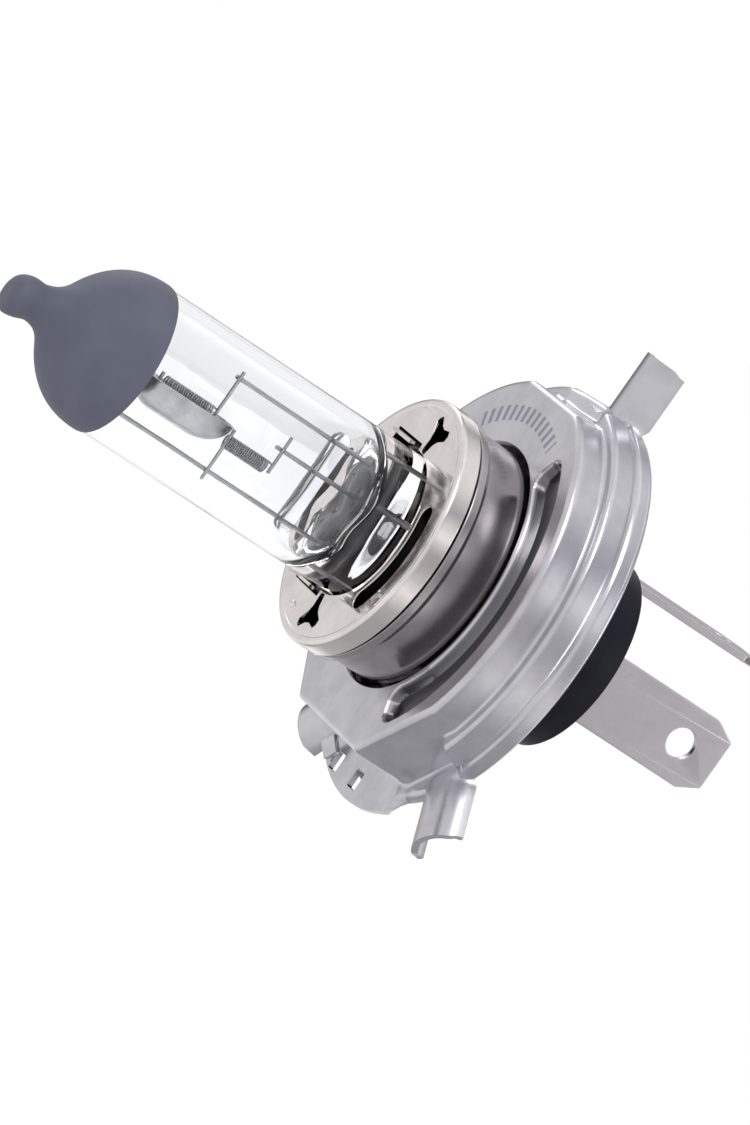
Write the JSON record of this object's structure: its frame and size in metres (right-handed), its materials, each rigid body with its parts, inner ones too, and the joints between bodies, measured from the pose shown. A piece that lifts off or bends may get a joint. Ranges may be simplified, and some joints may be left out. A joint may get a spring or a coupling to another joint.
{
  "type": "headlight bulb",
  "caption": "Halogen headlight bulb: clear glass with a grey-coated dome, low and high beam filaments with a shield, a lugged prefocus flange and flat blade contacts.",
  "frame": {"origin": "centre of the plane that the three lugs' front faces seat on, on the bulb's axis", "axes": "+X along the bulb's axis towards the glass tip, +Z towards the wide reference lug, which is up when the bulb is fitted in a lamp, +Y towards the common blade"},
  "size_m": [0.0874, 0.0444, 0.0526],
  "materials": {
    "clear_glass": "clear, smooth and glossy",
    "grey_coating": "matt slate-grey heat-proof paint on the glass dome",
    "bridge_glass": "clear fused quartz rod",
    "lead_wire": "drawn grey wire, satin",
    "filament_wire": "dark grey coiled wire, satin",
    "cross_wire": "drawn grey wire, satin",
    "shield_sheet": "thin formed sheet, satin",
    "seal_foil": "very thin foil, bright",
    "outer_wire": "drawn wire, satin",
    "bright_nickel": "polished nickel with a warm tint",
    "spring_nickel": "bright spring sheet",
    "clamp_steel": "satin sheet",
    "sleeve_steel": "smooth satin nickel plate",
    "flange_steel": "satin nickel plate with drawing marks",
    "black_insulator": "near-black moulded insulator, satin",
    "tinned_blade": "satin tin plate",
    "solder": "smooth solder"
  },
  "bodies": {
    "root": {"glass_envelope": "clear_glass", "top_coating": "grey_coating", "quartz_bridge": "bridge_glass", "lead_low": "lead_wire", "lead_high": "lead_wire", "lead_common": "lead_wire", "low_coil": "filament_wire", "high_coil": "filament_wire", "low_rear_leg": "cross_wire", "low_front_leg": "cross_wire", "high_rear_leg": "cross_wire", "shield_leg": "cross_wire", "low_beam_shield": "shield_sheet", "foil_low": "seal_foil", "foil_high": "seal_foil", "foil_common": "seal_foil", "outer_lead_low": "outer_wire", "outer_lead_high": "outer_wire", "outer_lead_common": "outer_wire", "collar_ring": "bright_nickel", "glass_clip": "spring_nickel", "pinch_clamp": "clamp_steel", "cap_sleeve": "sleeve_steel", "prefocus_flange": "flange_steel", "rear_plate": "flange_steel", "insulator": "black_insulator", "blade_low": "tinned_blade", "blade_high": "tinned_blade", "blade_ground": "tinned_blade", "solder_joints": "solder"}
  },
  "joints": []
}
